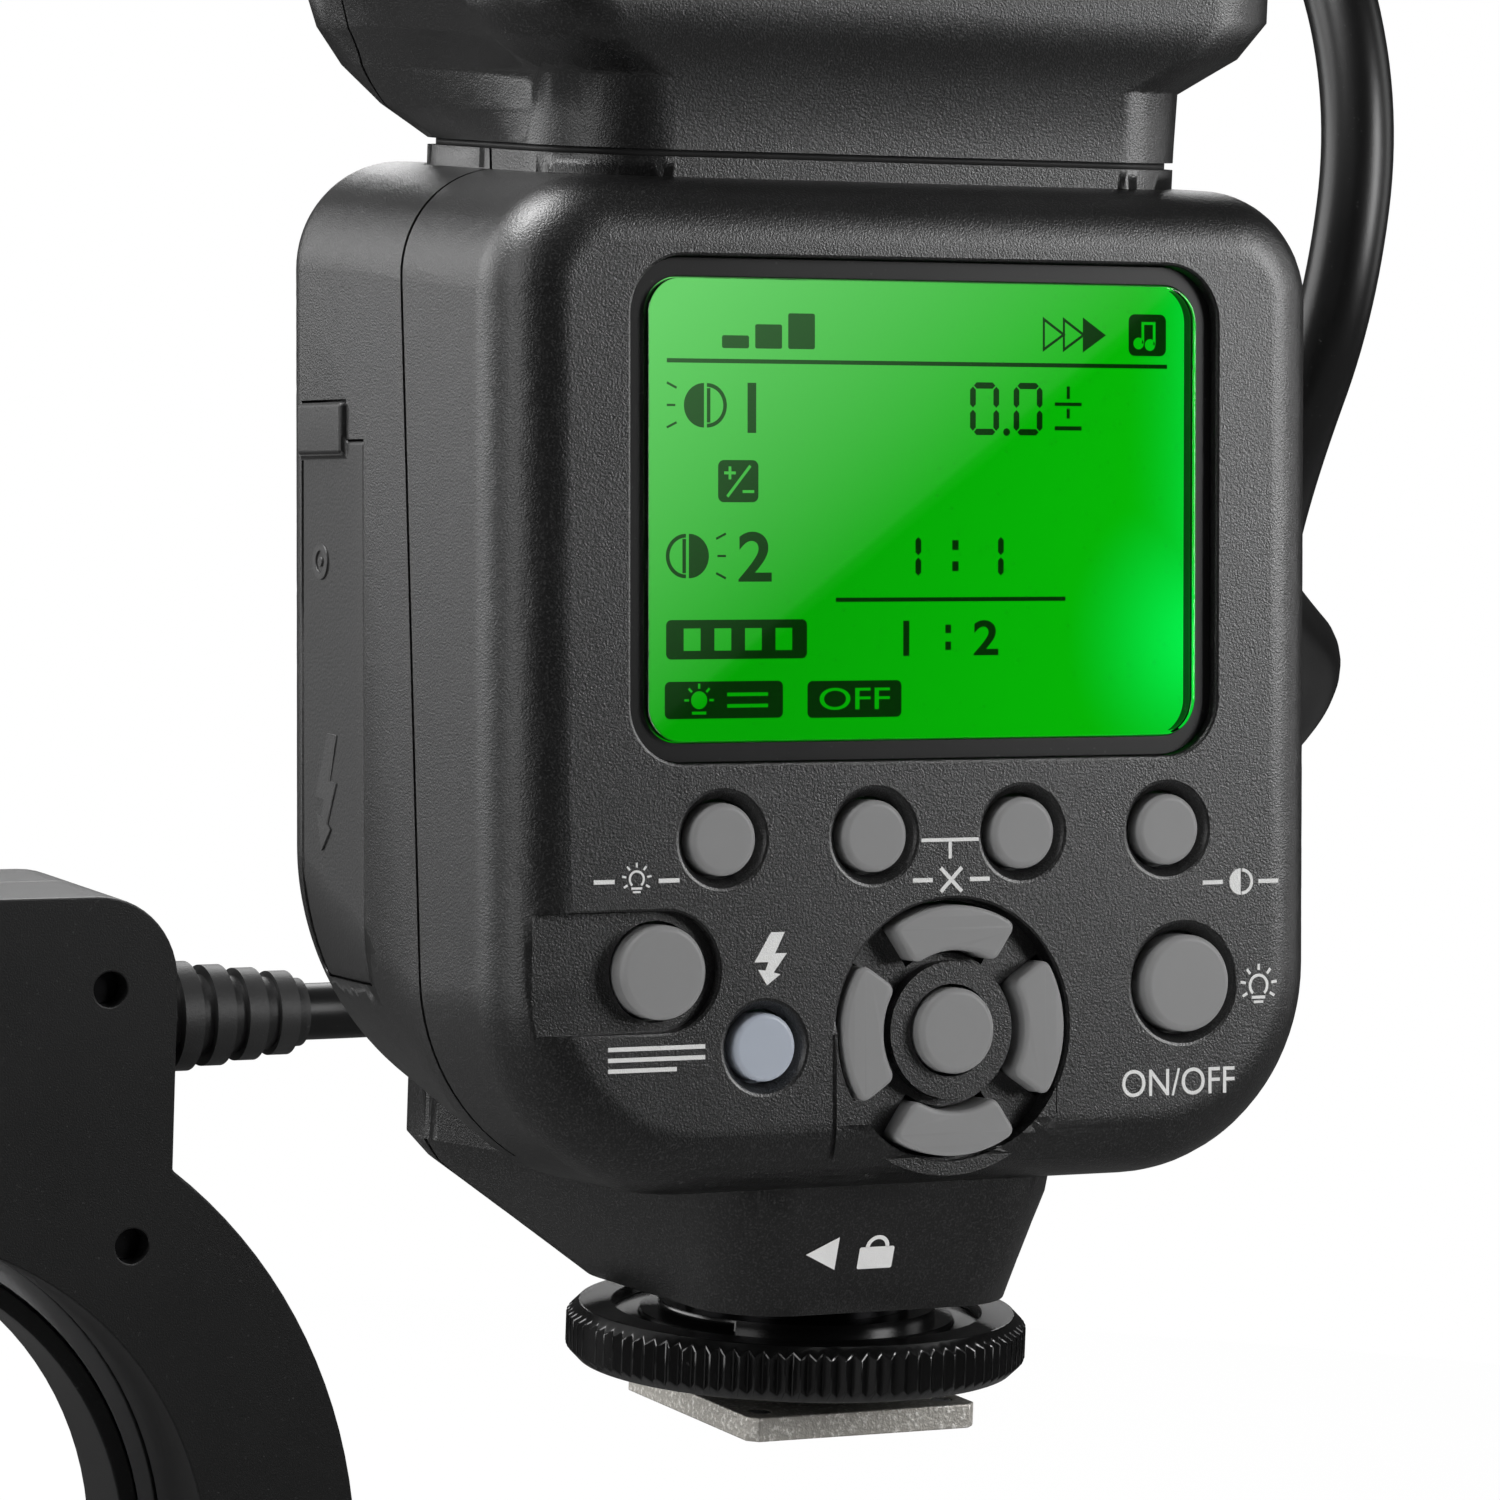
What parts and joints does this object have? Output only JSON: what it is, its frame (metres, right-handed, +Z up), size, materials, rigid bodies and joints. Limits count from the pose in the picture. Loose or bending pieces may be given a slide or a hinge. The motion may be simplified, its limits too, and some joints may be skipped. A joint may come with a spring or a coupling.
{
  "type": "macro flash",
  "caption": "Macro ring flash: shoe-mounted control unit with a backlit display and keys, joined by a free cord to a ring head that fits round a lens.",
  "frame": {"origin": "underside of the shoe foot, on the axis of its threaded post", "axes": "+Z up, +Y forward along the lens, +X to the right seen from behind the display"},
  "size_m": [0.1691, 0.2466, 0.247],
  "materials": {
    "housing": "fine spark texture, satin",
    "key_rubber": "smooth matte silicone",
    "test_cap": "translucent, soft gloss",
    "bezel_gloss": "gloss black",
    "clear_window": "clear, polished",
    "display": "backlit green liquid crystal",
    "light_guide": "frosted clear plate",
    "circuit_board": "green solder mask",
    "inner_plastic": "plain moulded black",
    "cell_jacket": "plain printed sleeve, bare",
    "spring_steel": "nickel plated",
    "capacitor_sleeve": "shrink sleeve",
    "cover_rubber": "matte, embossed",
    "socket_plastic": "moulded black",
    "foot_nickel": "nickel plated",
    "screw_steel": "plated",
    "contact_gold": "gold plated",
    "wheel_gloss": "gloss black, knurled rim",
    "collar_black": "satin black",
    "lamp_lens": "clear dome",
    "diffuser": "frosted prismatic window",
    "reflector_metal": "bright",
    "tube_glass": "clear xenon tube",
    "cord_jacket": "satin black jacket",
    "relief_rubber": "matte black, ribbed"
  },
  "bodies": {
    "unit": {"rear_shell": "housing", "front_shell": "housing", "head_rear_shell": "housing", "head_front_shell": "housing", "ring_rear_shell": "housing", "ring_front_shell": "housing", "display_bezel": "bezel_gloss", "display_window": "clear_window", "display_glass": "display", "light_guide": "light_guide", "key_board": "circuit_board", "main_board": "circuit_board", "charger_board": "circuit_board", "ring_board": "circuit_board", "battery_cage": "inner_plastic", "neck_hub": "inner_plastic", "contact_insert": "inner_plastic", "battery_cells": "cell_jacket", "battery_contacts": "spring_steel", "door_hinge_pin": "spring_steel", "flash_capacitor": "capacitor_sleeve", "sync_socket": "socket_plastic", "power_socket": "socket_plastic", "foot_plate": "foot_nickel", "foot_post": "foot_nickel", "foot_screws": "screw_steel", "ring_screws": "screw_steel", "focusing_lamps": "lamp_lens", "diffuser_right": "diffuser", "diffuser_left": "diffuser", "reflectors": "reflector_metal", "flash_tubes": "tube_glass", "cord": "cord_jacket", "ring_relief": "relief_rubber", "unit_relief": "relief_rubber"},
    "mode_button": {"mode_button": "key_rubber"},
    "power_button": {"power_button": "key_rubber"},
    "small_button_1": {"small_button_1": "key_rubber"},
    "small_button_2": {"small_button_2": "key_rubber"},
    "small_button_3": {"small_button_3": "key_rubber"},
    "small_button_4": {"small_button_4": "key_rubber"},
    "test_button": {"test_button": "test_cap"},
    "key_right": {"key_right": "key_rubber"},
    "key_up": {"key_up": "key_rubber"},
    "key_left": {"key_left": "key_rubber"},
    "key_down": {"key_down": "key_rubber"},
    "key_centre": {"key_centre": "key_rubber"},
    "door_bracket": {"door_bracket": "spring_steel", "door_contacts": "spring_steel"},
    "battery_door": {"battery_door": "housing"},
    "port_cover": {"port_cover": "cover_rubber"},
    "lock_collar": {"lock_collar": "collar_black"},
    "lock_wheel": {"lock_wheel": "wheel_gloss"},
    "lock_pin": {"lock_pin": "screw_steel"},
    "contact_pins": {"contact_pins": "contact_gold"},
    "release_button_right": {"release_button_right": "inner_plastic"},
    "release_button_left": {"release_button_left": "inner_plastic"}
  },
  "joints": [
    {"name": "mode_button_press", "type": "slide", "parent": "unit", "child": "mode_button", "axis": [0, 0.9971, -0.0767], "range_m": [0, 0.0007], "stiffness_N_per_m": 1500},
    {"name": "power_button_press", "type": "slide", "parent": "unit", "child": "power_button", "axis": [0, 0.9971, -0.0767], "range_m": [0, 0.0007], "stiffness_N_per_m": 1500},
    {"name": "small_button_1_press", "type": "slide", "parent": "unit", "child": "small_button_1", "axis": [0, 0.9971, -0.0767], "range_m": [0, 0.0007], "stiffness_N_per_m": 1500},
    {"name": "small_button_2_press", "type": "slide", "parent": "unit", "child": "small_button_2", "axis": [0, 0.9971, -0.0767], "range_m": [0, 0.0007], "stiffness_N_per_m": 1500},
    {"name": "small_button_3_press", "type": "slide", "parent": "unit", "child": "small_button_3", "axis": [0, 0.9971, -0.0767], "range_m": [0, 0.0007], "stiffness_N_per_m": 1500},
    {"name": "small_button_4_press", "type": "slide", "parent": "unit", "child": "small_button_4", "axis": [0, 0.9971, -0.0767], "range_m": [0, 0.0007], "stiffness_N_per_m": 1500},
    {"name": "test_button_press", "type": "slide", "parent": "unit", "child": "test_button", "axis": [0, 0.9971, -0.0767], "range_m": [0, 0.0007], "stiffness_N_per_m": 1500},
    {"name": "key_right_press", "type": "slide", "parent": "unit", "child": "key_right", "axis": [0, 0.9971, -0.0767], "range_m": [0, 0.0007], "stiffness_N_per_m": 1500},
    {"name": "key_up_press", "type": "slide", "parent": "unit", "child": "key_up", "axis": [0, 0.9971, -0.0767], "range_m": [0, 0.0007], "stiffness_N_per_m": 1500},
    {"name": "key_left_press", "type": "slide", "parent": "unit", "child": "key_left", "axis": [0, 0.9971, -0.0767], "range_m": [0, 0.0007], "stiffness_N_per_m": 1500},
    {"name": "key_down_press", "type": "slide", "parent": "unit", "child": "key_down", "axis": [0, 0.9971, -0.0767], "range_m": [0, 0.0007], "stiffness_N_per_m": 1500},
    {"name": "key_centre_press", "type": "slide", "parent": "unit", "child": "key_centre", "axis": [0, 0.9971, -0.0767], "range_m": [0, 0.0007], "stiffness_N_per_m": 1500},
    {"name": "door_swing", "type": "hinge", "parent": "unit", "child": "door_bracket", "pos_m": [0.03135, 0.01883, 0.05752], "axis": [0, 0.0767, 0.9971], "range_deg": [0, 95]},
    {"name": "door_slide", "type": "slide", "parent": "door_bracket", "child": "battery_door", "axis": [0, -0.0767, -0.9971], "range_m": [0, 0.004]},
    {"name": "port_cover_open", "type": "hinge", "parent": "unit", "child": "port_cover", "pos_m": [-0.0324, 0.01117, 0.03103], "axis": [0, -0.9971, 0.0767], "range_deg": [0, 110]},
    {"name": "lock_lift", "type": "slide", "parent": "unit", "child": "lock_collar", "axis": [0, 0, 1], "range_m": [0, 0.00125]},
    {"name": "lock_turn", "type": "hinge", "parent": "lock_collar", "child": "lock_wheel", "pos_m": [0, 0, 0.0055], "axis": [0, 0, 1], "range_deg": [0, 360]},
    {"name": "lock_pin_lift", "type": "slide", "parent": "unit", "child": "lock_pin", "axis": [0, 0, 1], "range_m": [0, 0.00125]},
    {"name": "contact_press", "type": "slide", "parent": "unit", "child": "contact_pins", "axis": [0, 0, 1], "range_m": [0, 0.0002], "stiffness_N_per_m": 2000},
    {"name": "release_right_press", "type": "slide", "parent": "unit", "child": "release_button_right", "axis": [-1, 0, 0], "range_m": [0, 0.0025], "stiffness_N_per_m": 800},
    {"name": "release_left_press", "type": "slide", "parent": "unit", "child": "release_button_left", "axis": [1, 0, 0], "range_m": [0, 0.0025], "stiffness_N_per_m": 800}
  ],
  "couplings": [
    {"joint": "lock_lift", "follows": "lock_turn", "m_per_rad": 0.0001989},
    {"joint": "lock_pin_lift", "follows": "lock_turn", "m_per_rad": 0.0001989}
  ]
}
